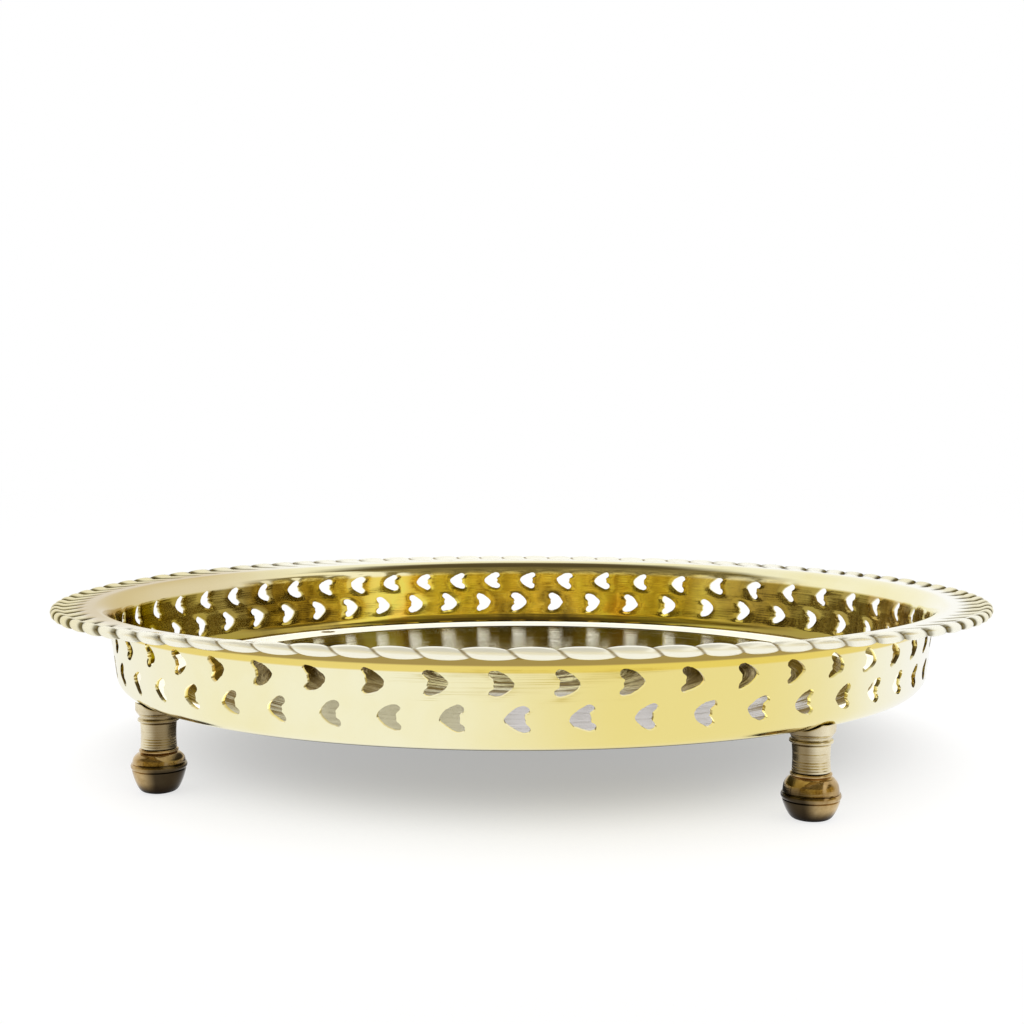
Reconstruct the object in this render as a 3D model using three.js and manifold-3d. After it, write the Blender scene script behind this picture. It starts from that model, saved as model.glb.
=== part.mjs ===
// Round footed brass tray: a spun sheet body with a pierced wall and a fluted edge,
// standing on four turned legs that are screwed on from above.
// Millimetres, +Z up. The origin is on the tray's axis, in the plane the feet stand on.

import * as THREE from 'three';
import { mergeGeometries, mergeVertices } from 'three/addons/utils/BufferGeometryUtils.js';
import Module from 'manifold-3d';

const wasm = await Module();
wasm.setup();

// ---- driving dimensions: sheet body ----
const SHEET = 0.9;                // thickness of the spun sheet
const FLOOR_UNDERSIDE = 25.3;     // height of the floor's underside above the table
const WALL_RADIUS = 133.2;        // outside radius of the wall at the lower row of hearts
const WALL_FLARE = 0.12;          // outward lean of the wall, mm per mm of height
const WALL_CREASE = 46.9;         // height of the crease where the wall turns out to the flange
const CORNER_RADIUS = 5.0;        // floor to wall, middle of the sheet
const SHOULDER_RADIUS = 5.3;      // wall to flange, middle of the sheet
const FLANGE_START = 139.5;       // radius where the flange begins
const FLANGE_SLOPE = 0.03;        // rise of the flange, mm per mm of radius
const RIM_RADIUS = 152.5;         // outermost radius of the tray
const EDGE_DROP = 0.5;            // how far the edge is turned down
const RIM_TILT = 0.87;            // how far the edge is bent up at the front and down at the back
const RIM_SADDLE = 0.91;          // how far it is bent up at front and back and down at the sides
const RIM_LIFT = { size: 1.1, angle: 138 }; // one stretch of it is bent up a little more

// ---- driving dimensions: fluted edge ----
const FLUTES = 88;                // lobes round the edge, a multiple of four
const FLUTE_START = 140.5;        // radius where the flutes fade into the flange
const FLUTE_HEIGHT = 0.8;         // half the height of the wave at the edge
const FLUTE_SCALLOP = 0.45;       // half the in-and-out of the wave at the edge
const FLUTE_LEAN = 0.75;          // slant of a flute from its start to the edge, in lobes

// ---- driving dimensions: pierced hearts ----
const HEARTS_PER_ROW = 52;
// A row's sag is how far it runs lower at the sides of the tray than at its front and back, and its
// climb is how far it runs higher at the back and lower at the front.
const UPPER_ROW = { height: 43.6, firstAngle: -3.4, tip: 1, sag: 0.5, climb: 0.5 };
const LOWER_ROW = { height: 34.4, firstAngle: -1.7, tip: -1, sag: 0.3, climb: 0.3 };
// The hand spacing of the hearts wanders off even steps in slow waves round the tray, in degrees.
const SPACING_WAVES = [
  { times: 1, size: 0.6, phase: -128 },
  { times: 2, size: 1.7, phase: -83 },
  { times: 3, size: 0.9, phase: -144 },
];
const HEART_TIP = 3.1;            // from the heart's middle to its blunt tip
const LOBE_CENTRE = { along: -1.2, up: 1.9 };
const LOBE_RADIUS = 1.75;
const LOBE_TURNS = [45, 125, 205]; // corners of a lobe, degrees from the tip's direction
const HEART_TIP_HALF = 0.9;       // half the height of the blunt tip
const NOTCH_ALONG = -1.3;         // where the notch between the lobes ends
const CUTTER_DEPTH = 14;

// ---- driving dimensions: legs ----
const LEG_CIRCLE = 125.5;         // radius of the circle the legs stand on
const LEGS = [
  { name: 'front_left', angle: 211.5, belt: 8.0 },
  { name: 'front_right', angle: 309.0, belt: 6.65 },
  { name: 'back_right', angle: 31.5, belt: 7.4 },
  { name: 'back_left', angle: 129.0, belt: 7.0 },
];
const SEAM = 0.1;                 // gap left between pieces that bear on each other
const BALL_HEIGHT = 12.0;
const BALL_RADIUS = 8.0;
const BELT_RADIUS = 8.2;
const BELT_HALF = 0.95;
const GROOVE_DEPTH = 0.45;
const FOOT_FLAT_RADIUS = 3.4;     // the flat the ball stands on
const NECK_RADIUS = 5.3;
const DISC_RADIUS = 5.8;
const DISC_HEIGHT = 1.2;
const COLUMN_TOP = 21.0;
const COLUMN_RADIUS = 5.3;
const COLUMN_RINGS = 5;
const RING_DEPTH = 0.3;
const BEAD_RADIUS = 6.0;
const BEAD_HEIGHT = 1.3;
const COLLAR_WAIST = 5.5;
const COLLAR_TOP_RADIUS = 6.7;

// ---- driving dimensions: leg screws ----
const SCREW_RADIUS = 1.5;
const SCREW_HEAD_RADIUS = 2.8;
const SCREW_HEAD_CONE = 1.3;
const SCREW_HEAD_EDGE = 0.15;
const SCREW_TIP = 4.4;            // height of the screw's end inside the ball
const SLOT_WIDTH = 0.8;
const SLOT_DEPTH = 0.6;
const CLEARANCE = 0.3;
const BORE_RADIUS = SCREW_RADIUS + CLEARANCE;
const COLLAR_BORE_RADIUS = 2.6;

const TURNED_SEGMENTS = 20;
const SCREW_SEGMENTS = 12;
const FLOOR_TOP = FLOOR_UNDERSIDE + SHEET;

// ---- materials ----
const brass = (color, roughness) => new THREE.MeshStandardMaterial({ color, roughness, metalness: 1 });
const polishedBrass = brass('#e8d478', 0.18);
const agedBrass = brass('#8a6a3c', 0.3);
const turnedBrass = brass('#c4ac78', 0.42);
const screwBrass = brass('#c8a850', 0.3);

// ---- helpers ----
const point = (radius, height) => new THREE.Vector2(radius, height);
const radians = THREE.MathUtils.degToRad;

// Points on a round stretch of a profile; angles in degrees from the outward direction.
function arc(radius, centreRadius, centreHeight, from, to, steps) {
  return Array.from({ length: steps + 1 }, (_, i) => {
    const angle = radians(from + (to - from) * i / steps);
    return point(centreRadius + radius * Math.cos(angle), centreHeight + radius * Math.sin(angle));
  });
}

// Removes seam copies and zero-area triangles, so that the mesh is closed.
function welded(geometry) {
  const bare = geometry.index ? geometry.toNonIndexed() : geometry.clone();
  bare.deleteAttribute('normal');
  bare.deleteAttribute('uv');
  const merged = mergeVertices(bare, 1e-4);
  const kept = [];
  const index = merged.index.array;
  for (let i = 0; i < index.length; i += 3) {
    const [a, b, c] = [index[i], index[i + 1], index[i + 2]];
    if (a !== b && b !== c && c !== a) kept.push(a, b, c);
  }
  merged.setIndex(kept);
  return merged;
}

// Turns a profile round the Z axis. It runs anticlockwise, with height up, and either starts and
// ends on the axis or closes on itself.
function turned(profile, segments) {
  return welded(new THREE.LatheGeometry(profile, segments).rotateX(Math.PI / 2));
}

function toSolid(geometry) {
  const mesh = new wasm.Mesh({
    numProp: 3,
    vertProperties: new Float32Array(geometry.attributes.position.array),
    triVerts: new Uint32Array(geometry.index.array),
  });
  return new wasm.Manifold(mesh);
}

function toGeometry(solid) {
  const mesh = solid.getMesh();
  const geometry = new THREE.BufferGeometry();
  geometry.setAttribute('position', new THREE.BufferAttribute(mesh.vertProperties, 3));
  geometry.setIndex(new THREE.BufferAttribute(mesh.triVerts, 1));
  return geometry;
}

function cut(geometry, cutter) {
  return toGeometry(toSolid(geometry).subtract(toSolid(cutter)));
}

function named(name, geometry, material) {
  const flat = geometry.toNonIndexed();
  flat.computeVertexNormals();
  const mesh = new THREE.Mesh(flat, material.clone());
  mesh.name = name;
  return mesh;
}

// ---- sheet body ----

// The middle line of the sheet, from the axis out to the turned-down edge.
function sheetMiddle() {
  const lean = Math.atan(WALL_FLARE);
  const leanDegrees = THREE.MathUtils.radToDeg(lean);
  const slopeDegrees = THREE.MathUtils.radToDeg(Math.atan(FLANGE_SLOPE));
  const wallAt = (height) => WALL_RADIUS - SHEET / 2 + WALL_FLARE * (height - LOWER_ROW.height);

  const floor = FLOOR_UNDERSIDE + SHEET / 2;
  const cornerHeight = floor + CORNER_RADIUS;
  const cornerCentre = wallAt(cornerHeight) - CORNER_RADIUS / Math.cos(lean);
  const corner = arc(CORNER_RADIUS, cornerCentre, cornerHeight, -90, -leanDegrees, 3);

  const shoulderCentre = wallAt(WALL_CREASE) + SHOULDER_RADIUS * Math.cos(lean);
  const shoulderHeight = WALL_CREASE - SHOULDER_RADIUS * Math.sin(lean);
  const from = 180 - leanDegrees;
  const to = 90 + slopeDegrees;
  const shoulder = arc(SHOULDER_RADIUS, shoulderCentre, shoulderHeight, from, to, 3);

  const end = shoulder.at(-1);
  const flangeAt = (radius) => point(radius, end.y + FLANGE_SLOPE * (radius - end.x));
  const bend = flangeAt(RIM_RADIUS - SHEET);
  const edge = point(RIM_RADIUS - SHEET / 3, bend.y - EDGE_DROP);
  return [point(0, floor), ...corner, ...shoulder, flangeAt(FLUTE_START), bend, edge];
}

// Shifts a middle line by half the sheet, to its underside (side +1) or its top (side -1).
function sheetFace(middle, side) {
  return middle.map((here, i) => {
    const before = middle[Math.max(i - 1, 0)];
    const after = middle[Math.min(i + 1, middle.length - 1)];
    const normal = point(after.y - before.y, before.x - after.x).normalize();
    const shift = side * SHEET / 2;
    if (here.x === 0) return point(0, here.y - shift);
    return point(here.x + normal.x * shift, here.y + normal.y * shift);
  });
}

// How far hand work has bent the flange up or down at an angle round the tray and a radius.
function flangeBend(angle, radius) {
  const share = Math.max(0, (radius - FLANGE_START) / (RIM_RADIUS - FLANGE_START));
  const lift = RIM_LIFT.size * Math.max(0, Math.cos(angle - radians(RIM_LIFT.angle))) ** 6;
  return share * (lift - RIM_TILT * Math.sin(angle) - RIM_SADDLE * Math.cos(2 * angle));
}

// One ring of points round the axis. Outside the plain flange a ring has two points to a flute,
// one on its crest and one in its valley, and is turned a little, so that the flutes slant.
function ring(profilePoint) {
  const { x: radius, y: height } = profilePoint;
  if (radius === 0) return [new THREE.Vector3(0, 0, height)];
  const fluted = radius > FLUTE_START + SHEET;
  const count = fluted ? FLUTES * 2 : FLUTES;
  const slant = fluted ? FLUTE_LEAN * 2 * Math.PI / FLUTES : 0;
  return Array.from({ length: count }, (_, i) => {
    const wave = fluted ? 1 - 2 * (i % 2) : 0;
    const angle = slant + i * 2 * Math.PI / count;
    const reach = radius + (fluted ? FLUTE_SCALLOP * (wave - 1) : 0);
    const level = height + flangeBend(angle, radius) + FLUTE_HEIGHT * wave;
    return new THREE.Vector3(reach * Math.cos(angle), reach * Math.sin(angle), level);
  });
}

// Triangles between two neighbouring rings, facing out. The rings have equal counts, or one has
// twice the other's, or one is a single point on the axis.
function strip(low, high) {
  const count = Math.min(low.length, high.length) === 1
    ? Math.max(low.length, high.length)
    : Math.min(low.length, high.length);
  const on = (points, i) => points[i % points.length];
  const triangles = [];
  for (let i = 0; i < count; i += 1) {
    if (low.length === 1) {
      triangles.push(low[0], on(high, i + 1), high[i]);
    } else if (high.length === 1) {
      triangles.push(low[i], on(low, i + 1), high[0]);
    } else if (low.length === high.length) {
      triangles.push(low[i], on(low, i + 1), on(high, i + 1));
      triangles.push(low[i], on(high, i + 1), high[i]);
    } else if (low.length < high.length) {
      triangles.push(low[i], on(low, i + 1), high[2 * i + 1]);
      triangles.push(low[i], high[2 * i + 1], high[2 * i]);
      triangles.push(on(low, i + 1), on(high, 2 * i + 2), high[2 * i + 1]);
    } else {
      triangles.push(low[2 * i], low[2 * i + 1], high[i]);
      triangles.push(low[2 * i + 1], on(low, 2 * i + 2), on(high, i + 1));
      triangles.push(low[2 * i + 1], on(high, i + 1), high[i]);
    }
  }
  return triangles;
}

// The plain sheet: out along its underside, round the edge and back along its top.
function plainSheet() {
  const middle = sheetMiddle();
  const rings = [...sheetFace(middle, 1), ...sheetFace(middle, -1).reverse()].map(ring);
  const triangles = rings.slice(1).flatMap((high, i) => strip(rings[i], high));
  return welded(new THREE.BufferGeometry().setFromPoints(triangles));
}

// One heart: blunt tip along +X, two lobes with a notch between them at the other end.
function heartOutline() {
  const lobe = (side, turn) => {
    const angle = radians(side * turn);
    return point(LOBE_CENTRE.along + LOBE_RADIUS * Math.cos(angle),
      side * LOBE_CENTRE.up + LOBE_RADIUS * Math.sin(angle));
  };
  return new THREE.Shape([
    point(HEART_TIP, -HEART_TIP_HALF),
    point(HEART_TIP, HEART_TIP_HALF),
    ...LOBE_TURNS.map((turn) => lobe(1, turn)),
    point(NOTCH_ALONG, 0),
    ...LOBE_TURNS.toReversed().map((turn) => lobe(-1, turn)),
  ]);
}

// The angle of a row's heart round the tray, in degrees.
function heartAngle(row, index) {
  const even = index * 360 / HEARTS_PER_ROW;
  const wander = SPACING_WAVES.map((wave) => wave.size * Math.sin(radians(wave.times * even + wave.phase)));
  return row.firstAngle + even + wander.reduce((sum, each) => sum + each);
}

// A heart-shaped punch that stands on the wall, square to it.
function heartPunch(row, index) {
  const angle = radians(heartAngle(row, index));
  const height = row.height - row.sag * Math.cos(angle) ** 2 + row.climb * Math.sin(angle);
  const radius = WALL_RADIUS + WALL_FLARE * (height - LOWER_ROW.height);
  const punch = new THREE.ExtrudeGeometry(heartOutline(), { depth: CUTTER_DEPTH, bevelEnabled: false });
  if (row.tip < 0) punch.rotateZ(Math.PI);
  punch.translate(0, 0, -CUTTER_DEPTH / 2);
  const along = new THREE.Vector3(-Math.sin(angle), Math.cos(angle), 0);
  const up = new THREE.Vector3(0, 0, 1);
  const outward = new THREE.Vector3(Math.cos(angle), Math.sin(angle), 0);
  punch.applyMatrix4(new THREE.Matrix4().makeBasis(along, up, outward));
  punch.translate(radius * outward.x, radius * outward.y, height);
  return punch;
}

// A countersink and clearance hole for a leg screw, through the floor.
function screwHolePunch(leg) {
  const top = FLOOR_TOP + 1;
  const mouth = SCREW_HEAD_RADIUS + CLEARANCE + 1;
  const bottom = FLOOR_UNDERSIDE - 1;
  const waist = mouth - (top - bottom);
  const profile = [point(0, bottom), point(waist, bottom), point(mouth, top), point(0, top)];
  return turned(profile, SCREW_SEGMENTS).translate(...legPlace(leg));
}

function trayBody() {
  const hearts = [];
  for (const row of [UPPER_ROW, LOWER_ROW]) {
    for (let i = 0; i < HEARTS_PER_ROW; i += 1) hearts.push(welded(heartPunch(row, i)));
  }
  const holes = LEGS.map(screwHolePunch);
  const pierced = cut(plainSheet(), mergeGeometries([...hearts, ...holes]));
  return named('tray_body', pierced, polishedBrass);
}

// ---- legs ----

function legPlace(leg) {
  const angle = radians(leg.angle);
  return [LEG_CIRCLE * Math.cos(angle), LEG_CIRCLE * Math.sin(angle), 0];
}

// The ball foot: a flat to stand on, a raised belt between two grooves, and a neck disc on top.
function footBall(leg) {
  const top = BALL_HEIGHT + DISC_HEIGHT;
  const beltLow = leg.belt - BELT_HALF;
  const beltHigh = leg.belt + BELT_HALF;
  const shoulder = beltHigh + (BALL_HEIGHT - beltHigh) * 0.65;
  const profile = [
    point(0, 0),
    point(FOOT_FLAT_RADIUS, 0),
    point(BALL_RADIUS * 0.7, beltLow * 0.16),
    point(BALL_RADIUS * 0.89, beltLow * 0.55),
    point(BALL_RADIUS - GROOVE_DEPTH, beltLow),
    point(BELT_RADIUS, leg.belt - BELT_HALF * 0.5),
    point(BELT_RADIUS, leg.belt + BELT_HALF * 0.5),
    point(BALL_RADIUS - GROOVE_DEPTH, beltHigh),
    point(BALL_RADIUS * 0.86, shoulder),
    point(NECK_RADIUS, BALL_HEIGHT),
    point(DISC_RADIUS, BALL_HEIGHT + DISC_HEIGHT / 2),
    point(NECK_RADIUS, top),
    point(BORE_RADIUS, top),
    point(BORE_RADIUS, SCREW_TIP - CLEARANCE),
    point(0, SCREW_TIP - CLEARANCE),
  ];
  return named(`foot_ball_${leg.name}`, turned(profile, TURNED_SEGMENTS), agedBrass);
}

// The column: a sleeve with a run of turned rings.
function legColumn(leg) {
  const bottom = BALL_HEIGHT + DISC_HEIGHT + SEAM;
  const top = COLUMN_TOP - SEAM;
  const step = (top - bottom) / (2 * COLUMN_RINGS);
  const rings = Array.from({ length: 2 * COLUMN_RINGS + 1 }, (_, i) => (
    point(COLUMN_RADIUS - (i % 2 ? 0 : RING_DEPTH), bottom + i * step)
  ));
  const bore = [point(BORE_RADIUS, top), point(BORE_RADIUS, bottom)];
  const profile = [point(BORE_RADIUS, bottom), ...rings, ...bore];
  return named(`leg_column_${leg.name}`, turned(profile, TURNED_SEGMENTS), turnedBrass);
}

// The collar: a bead, a waist and a flare that bears on the floor's underside.
function legCollar(leg) {
  const bottom = COLUMN_TOP;
  const top = FLOOR_UNDERSIDE - SEAM;
  const beadTop = bottom + BEAD_HEIGHT;
  const profile = [
    point(COLLAR_BORE_RADIUS, bottom),
    point(COLLAR_WAIST, bottom),
    point(BEAD_RADIUS, bottom + BEAD_HEIGHT * 0.3),
    point(BEAD_RADIUS, bottom + BEAD_HEIGHT * 0.7),
    point(COLLAR_WAIST, beadTop),
    point(COLLAR_WAIST + 0.3, beadTop + (top - beadTop) * 0.4),
    point(COLLAR_TOP_RADIUS, top - 0.6),
    point(COLLAR_TOP_RADIUS, top),
    point(COLLAR_BORE_RADIUS, top),
    point(COLLAR_BORE_RADIUS, bottom),
  ];
  return named(`leg_collar_${leg.name}`, turned(profile, TURNED_SEGMENTS), turnedBrass);
}

// The countersunk screw that holds ball, column and collar to the floor.
function legScrew(leg) {
  const headTop = FLOOR_TOP;
  const coneTop = headTop - SCREW_HEAD_EDGE;
  const profile = [
    point(0, SCREW_TIP),
    point(SCREW_RADIUS, SCREW_TIP),
    point(SCREW_RADIUS, coneTop - SCREW_HEAD_CONE),
    point(SCREW_HEAD_RADIUS, coneTop),
    point(SCREW_HEAD_RADIUS, headTop),
    point(0, headTop),
  ];
  const slot = new THREE.BoxGeometry(SCREW_HEAD_RADIUS * 3, SLOT_WIDTH, SLOT_DEPTH * 2);
  slot.translate(0, 0, headTop);
  const body = turned(profile, SCREW_SEGMENTS);
  return named(`leg_screw_${leg.name}`, cut(body, welded(slot)), screwBrass);
}

function legAssembly(leg) {
  const group = new THREE.Group();
  group.position.set(...legPlace(leg));
  group.rotation.z = radians(leg.angle);
  group.add(footBall(leg), legColumn(leg), legCollar(leg), legScrew(leg));
  return group;
}

const tray = new THREE.Group();
tray.add(trayBody(), ...LEGS.map(legAssembly));

export default tray;
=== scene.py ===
"""Looks of a round footed brass tray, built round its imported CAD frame. Metres, +Z up, -Y to the viewer."""
import math
from types import SimpleNamespace

import bmesh
import bpy
import numpy as np
from mathutils import Matrix, Vector


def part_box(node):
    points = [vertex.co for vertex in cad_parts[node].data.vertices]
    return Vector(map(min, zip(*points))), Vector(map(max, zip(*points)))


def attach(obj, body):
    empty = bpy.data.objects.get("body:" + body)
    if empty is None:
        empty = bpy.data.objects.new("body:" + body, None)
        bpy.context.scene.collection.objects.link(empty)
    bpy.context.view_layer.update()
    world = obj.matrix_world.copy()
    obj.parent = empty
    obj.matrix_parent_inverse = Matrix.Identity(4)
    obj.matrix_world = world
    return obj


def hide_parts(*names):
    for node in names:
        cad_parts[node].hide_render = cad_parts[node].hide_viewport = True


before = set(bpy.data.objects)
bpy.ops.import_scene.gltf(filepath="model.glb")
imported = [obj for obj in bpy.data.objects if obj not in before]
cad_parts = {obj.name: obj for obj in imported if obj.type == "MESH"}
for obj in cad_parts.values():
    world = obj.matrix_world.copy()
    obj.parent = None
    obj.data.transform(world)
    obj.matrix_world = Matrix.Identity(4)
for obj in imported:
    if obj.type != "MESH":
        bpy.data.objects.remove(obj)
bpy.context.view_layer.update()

MM = 0.001
RANDOM = np.random.default_rng(7)

# ---- sizes read from the frame, in millimetres ----
BODY_LOW, BODY_HIGH = (np.array(corner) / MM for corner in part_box("tray_body"))
RIM_RADIUS = BODY_HIGH[0]
RIM_TOP = BODY_HIGH[2]
FLOOR_UNDERSIDE = BODY_LOW[2]
LEG_NAMES = ("front_left", "front_right", "back_right", "back_left")

# ---- the sheet body's shape, in millimetres ----
SHEET = 0.9                 # thickness of the spun sheet
SHEET_SHARP = 34.0          # degrees between faces above which its edges stay sharp
WALL_RADIUS = 133.2         # outside radius of the wall at WALL_MIDDLE
WALL_MIDDLE = 34.2
WALL_FLARE = 0.12           # outward lean of the wall, per unit of height
WALL_CREASE = 46.9          # height where the wall turns out to the flange
CORNER_RADIUS = 5.0
SHOULDER_RADIUS = 5.3
FLANGE_START = 139.5        # radius where the flange begins
FLANGE_SLOPE = 0.03
RIM_TILT = 0.87             # how far the edge is bent up at the front and down at the back
RIM_SADDLE = 0.91           # how far it is bent up at front and back and down at the sides
RIM_LIFT = 1.1              # one stretch of it is bent up a little more
RIM_LIFT_ANGLE = math.radians(138)
RIM_LIFT_POWER = 6          # how narrow that stretch is
BEND_SOFTNESS = 3.0         # how gently the bends set in where the flange begins
BEND_START = 0.14
ROPE_START = 140.6          # radius where the strands of the rope edge fade in
STRANDS = 88
STRAND_SAMPLES = 20         # points across one strand
BEAD_RADIUS = 1.50          # radius of the rolled edge without its strands
STRAND_RISE = 0.20          # how far a strand stands out of the rolled edge
STRAND_GROOVE = 0.80        # how deep the grooves between strands are
STRAND_WAVES = ((3, 0.10, 1.0), (7, 0.07, 2.2), (11, 0.06, 0.4))
STRAND_LEAN = (0.75, 0.30)  # strands crossed while going over the flange, and round the rolled edge
FLANGE_TOP_END = 148.4      # radius where the flange's top runs into the rolled edge
FLANGE_UNDER_END = 149.0
BEAD_ANGLES = (112, -128)   # degrees round the rolled edge from its top to its underside
ROPE_POINTS = 56            # points of the edge's section
RIM_CLEARANCE = (0.02, 0.04)  # how far the visual edge stays inside the CAD's box, outwards and upwards
STRAND_LOW = RANDOM.uniform(0, 0.12, STRANDS)

# ---- the pierced hearts, in millimetres and degrees ----
HEARTS_PER_ROW = 52
CELL_COLUMNS = 14           # grid columns to one heart
CELL_LEVELS = 12            # grid levels to one heart, an even number
CELL_LAYERS = 7             # loops of faces round one heart
OUTER_DISH = 0.2            # dishing of a heart's edge outside, against that inside
UPPER_ROW = {"height": 43.6, "first": -3.4, "tip": 1, "half_height": 3.62, "sag": 0.5, "climb": 0.5}
LOWER_ROW = {"height": 34.4, "first": -1.7, "tip": -1, "half_height": 3.8, "sag": 0.3, "climb": 0.3}
PIERCED_BOTTOM = 29.5
PIERCED_SPLIT = 39.0
PIERCED_TOP = 48.1
HEART_DISH = (0.14, 0.36)   # how deep the edge of a heart is dished, at least and at most
DISH_REACH = 1.5
SPACING_WAVES = ((1, 0.6, -128), (2, 1.7, -83), (3, 0.9, -144))
HEART_CORNERS = (           # half an outline, from the blunt tip round a lobe to the notch
    (3.35, 0.0), (3.1, 0.75), (2.2, 1.75), (0.9, 2.75), (-0.7, 3.5), (-2.0, 3.75), (-3.0, 3.25),
    (-3.25, 2.3), (-2.6, 1.45), (-1.75, 0.95), (-1.95, 0.45), (-2.05, 0.0),
)

COLUMNS = HEARTS_PER_ROW * CELL_COLUMNS
SCREW_HOLE = 3.05           # radius of the holes for the legs' screws
HOLE_COLUMNS = 5            # half a screw hole's cell, in grid columns and levels
HOLE_LEVELS = 4


# ---- mesh helpers ----


def smooth_step(low, high, value):
    t = np.clip((np.asarray(value, float) - low) / (high - low), 0, 1)
    return t * t * (3 - 2 * t)


def make_object(name, vertices, faces, sharp_degrees, marks=None):
    """A mesh object from millimetre vertices, smooth except across edges sharper than sharp_degrees.

    marks are named values of each vertex for the material to use.
    """
    mesh = bpy.data.meshes.new(name)
    built = bmesh.new()
    for vertex in vertices:
        built.verts.new(Vector(vertex) * MM)
    built.verts.ensure_lookup_table()
    for face in faces:
        corners = list(dict.fromkeys(face))
        if len(corners) > 2:
            built.faces.new([built.verts[i] for i in corners])
    bmesh.ops.recalc_face_normals(built, faces=built.faces)
    limit = math.radians(sharp_degrees)
    for face in built.faces:
        face.smooth = True
    for edge in built.edges:
        edge.smooth = len(edge.link_faces) == 2 and edge.calc_face_angle(0) < limit
    built.to_mesh(mesh)
    built.free()
    for mark, values in (marks or {}).items():
        mesh.attributes.new(mark, "FLOAT", "POINT").data.foreach_set("value", values)
    piece = bpy.data.objects.new(name, mesh)
    bpy.context.scene.collection.objects.link(piece)
    return piece


def place_piece(piece, material, node):
    piece.data.materials.append(material)
    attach(piece, "root")
    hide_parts(node)


class Shell:
    """Collects faces and millimetre vertices.

    Each vertex is marked by how much painted shade it takes in the rope's grooves and by whether it is on the
    outer face of the sheet.
    """

    def __init__(self):
        self.vertices = []
        self.faces = []
        self.marks = {"groove_shade": [], "outer": []}

    def add_points(self, points, groove_shade=0.0, outer=0.0):
        first = len(self.vertices)
        self.vertices.extend(map(tuple, points))
        for mark, value in (("groove_shade", groove_shade), ("outer", outer)):
            self.marks[mark].extend(np.broadcast_to(value, len(self.vertices) - first))
        return list(range(first, len(self.vertices)))

    def bridge(self, low, high):
        """Quads between two closed loops of equal count."""
        count = len(low)
        for i in range(count):
            j = (i + 1) % count
            self.faces.append((low[i], low[j], high[j], high[i]))

    def zip_loops(self, low, high):
        """Triangles between two closed loops of different counts that start at the same angle."""
        i = j = 0
        while i < len(low) or j < len(high):
            here, there = low[i % len(low)], high[j % len(high)]
            if j >= len(high) or (i < len(low) and (i + 1) * len(high) <= (j + 1) * len(low)):
                self.faces.append((here, low[(i + 1) % len(low)], there))
                i += 1
            else:
                self.faces.append((here, high[(j + 1) % len(high)], there))
                j += 1


# ---- the sheet's middle line ----


def middle_line():
    """Radius and height of the middle of the sheet, from the axis out to ROPE_START, as dense points."""
    lean = math.atan(WALL_FLARE)
    slope = math.atan(FLANGE_SLOPE)

    def wall_at(height):
        return WALL_RADIUS - SHEET / 2 + WALL_FLARE * (height - WALL_MIDDLE)

    def arc(radius, centre, start, end):
        angles = np.linspace(start, end, 40)
        return [(centre[0] + radius * math.cos(a), centre[1] + radius * math.sin(a)) for a in angles]

    floor = FLOOR_UNDERSIDE + SHEET / 2
    corner_centre = (wall_at(floor + CORNER_RADIUS) - CORNER_RADIUS / math.cos(lean), floor + CORNER_RADIUS)
    corner = arc(CORNER_RADIUS, corner_centre, -math.pi / 2, -lean)
    shoulder_centre = (wall_at(WALL_CREASE) + SHOULDER_RADIUS * math.cos(lean),
                       WALL_CREASE - SHOULDER_RADIUS * math.sin(lean))
    shoulder = arc(SHOULDER_RADIUS, shoulder_centre, math.pi - lean, math.pi / 2 + slope)
    end = shoulder[-1]
    flange = (RIM_RADIUS, end[1] + FLANGE_SLOPE * (RIM_RADIUS - end[0]))
    line = np.array([(0.0, floor)] + corner + shoulder + [flange])
    lengths = np.concatenate([[0.0], np.cumsum(np.linalg.norm(np.diff(line, axis=0), axis=1))])
    at_middle = np.interp(WALL_MIDDLE, line[:, 1], lengths)
    return line, lengths - at_middle + WALL_MIDDLE


LINE, LINE_Q = middle_line()


def on_line(q):
    """Point and outward unit normal of the middle line at position q, which equals height on the wall."""
    def place(at):
        return np.stack([np.interp(at, LINE_Q, LINE[:, 0]), np.interp(at, LINE_Q, LINE[:, 1])], -1)

    step = 0.15
    tangent = place(q + step) - place(q - step)
    tangent /= np.linalg.norm(tangent, axis=-1, keepdims=True)
    return place(q), np.stack([tangent[..., 1], -tangent[..., 0]], -1)


def q_at_radius(radius):
    return float(np.interp(radius, LINE[:, 0], LINE_Q))


# ---- hand-made unevenness ----

WAVES = [(int(RANDOM.integers(3, 26)), RANDOM.uniform(5, 22), RANDOM.uniform(0, 2 * math.pi),
          RANDOM.uniform(0, 2 * math.pi), RANDOM.uniform(0.3, 1.0)) for _ in range(14)]
WALL_UNEVEN = 0.018         # size of the slow waves in the wall
FLOOR_UNEVEN = 0.25         # their size in the floor, against that in the wall
FLOOR_RIPPLES = [(RANDOM.uniform(2.2, 7.5), RANDOM.uniform(0, 2 * math.pi)) for _ in range(6)]
FLOOR_RIPPLE = 0.010        # size of the rings that spinning left in the floor
RIPPLES_END = (118, 124)    # radii between which they die out


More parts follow.
